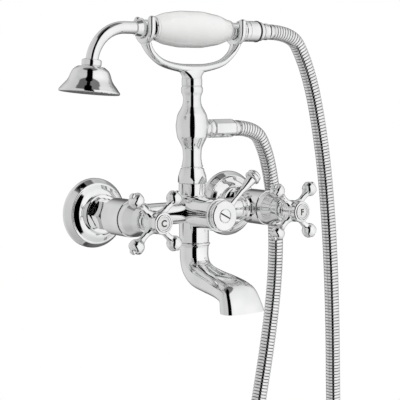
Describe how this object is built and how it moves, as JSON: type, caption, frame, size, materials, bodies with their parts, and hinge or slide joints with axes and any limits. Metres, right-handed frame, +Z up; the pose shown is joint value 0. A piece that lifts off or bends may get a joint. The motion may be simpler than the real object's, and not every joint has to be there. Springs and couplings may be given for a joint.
{
  "type": "bath shower mixer",
  "caption": "Wall-mounted two-handle bath mixer with spout, diverter lever, riser column, cradle, porcelain-handled handset and metal hose.",
  "frame": {"origin": "in the wall face, midway between the two inlet threads", "axes": "+X from the hot inlet to the cold one, +Y into the wall, +Z up"},
  "size_m": [0.3183, 0.1454, 0.6356],
  "materials": {
    "chrome": "polished chrome plate on brass",
    "raw_brass": "machined brass, unplated",
    "steel": "stainless steel",
    "hose_steel": "chromed interlocked steel strip",
    "porcelain": "white glazed porcelain",
    "enamel": "white enamel disc with a plain letter",
    "spray_face": "drilled spray plate",
    "black_rubber": "black rubber",
    "fibre": "fibre washer",
    "alumina": "lapped ceramic"
  },
  "bodies": {
    "mixer": {"body_casting": "chrome", "diverter_gland": "chrome", "diverter_seal": "black_rubber", "spout_collar": "chrome", "spout": "chrome", "spout_seal": "black_rubber", "column_washer": "fibre", "column_nut": "chrome", "column": "chrome", "hose_outlet": "chrome", "cradle": "chrome", "cradle_stud": "steel", "outlet_hose_nut": "chrome", "outlet_hose_washer": "black_rubber", "shower_hose": "hose_steel", "hot_wall_flange": "chrome", "hot_union_connector": "raw_brass", "hot_union_nut": "chrome", "hot_union_washer": "fibre", "hot_seat_seal": "black_rubber", "hot_ceramic_seat_disc": "alumina", "hot_valve_cartridge": "raw_brass", "hot_spindle_seal": "black_rubber", "hot_bonnet_shroud": "chrome", "cold_wall_flange": "chrome", "cold_union_connector": "raw_brass", "cold_union_nut": "chrome", "cold_union_washer": "fibre", "cold_seat_seal": "black_rubber", "cold_ceramic_seat_disc": "alumina", "cold_valve_cartridge": "raw_brass", "cold_spindle_seal": "black_rubber", "cold_bonnet_shroud": "chrome"},
    "hot_handle": {"hot_cross_handle": "chrome", "hot_spindle": "raw_brass", "hot_ceramic_turning_disc": "alumina", "hot_handle_screw": "steel", "hot_index_cap": "enamel"},
    "cold_handle": {"cold_cross_handle": "chrome", "cold_spindle": "raw_brass", "cold_ceramic_turning_disc": "alumina", "cold_handle_screw": "steel", "cold_index_cap": "enamel"},
    "diverter": {"diverter_spool": "raw_brass", "lever_hub": "chrome", "lever_screw": "chrome", "lever_rod": "chrome", "lever_knob": "chrome"},
    "handset": {"handset_neck": "chrome", "shower_rose": "chrome", "spray_plate": "spray_face", "front_ferrule": "chrome", "porcelain_handle": "porcelain", "rear_ferrule": "chrome", "waterway_tube": "raw_brass", "handset_tail": "chrome", "handset_hose_nut": "chrome", "handset_hose_washer": "black_rubber", "swivel_ring": "black_rubber", "hose_end_sleeve": "chrome"}
  },
  "joints": [
    {"name": "hot_handle_turn", "type": "hinge", "parent": "mixer", "child": "hot_handle", "pos_m": [-0.075, -0.0988, 0], "axis": [0, -1, 0], "range_deg": [0, 90]},
    {"name": "cold_handle_turn", "type": "hinge", "parent": "mixer", "child": "cold_handle", "pos_m": [0.075, -0.0988, 0], "axis": [0, -1, 0], "range_deg": [0, 90]},
    {"name": "diverter_lever_turn", "type": "hinge", "parent": "mixer", "child": "diverter", "pos_m": [0, -0.0916, 0], "axis": [0, -1, 0], "range_deg": [0, 90]},
    {"name": "handset_lift", "type": "slide", "parent": "mixer", "child": "handset", "axis": [0, 0, 1], "range_m": [0, 0.035], "deforming": ["shower_hose"]}
  ]
}
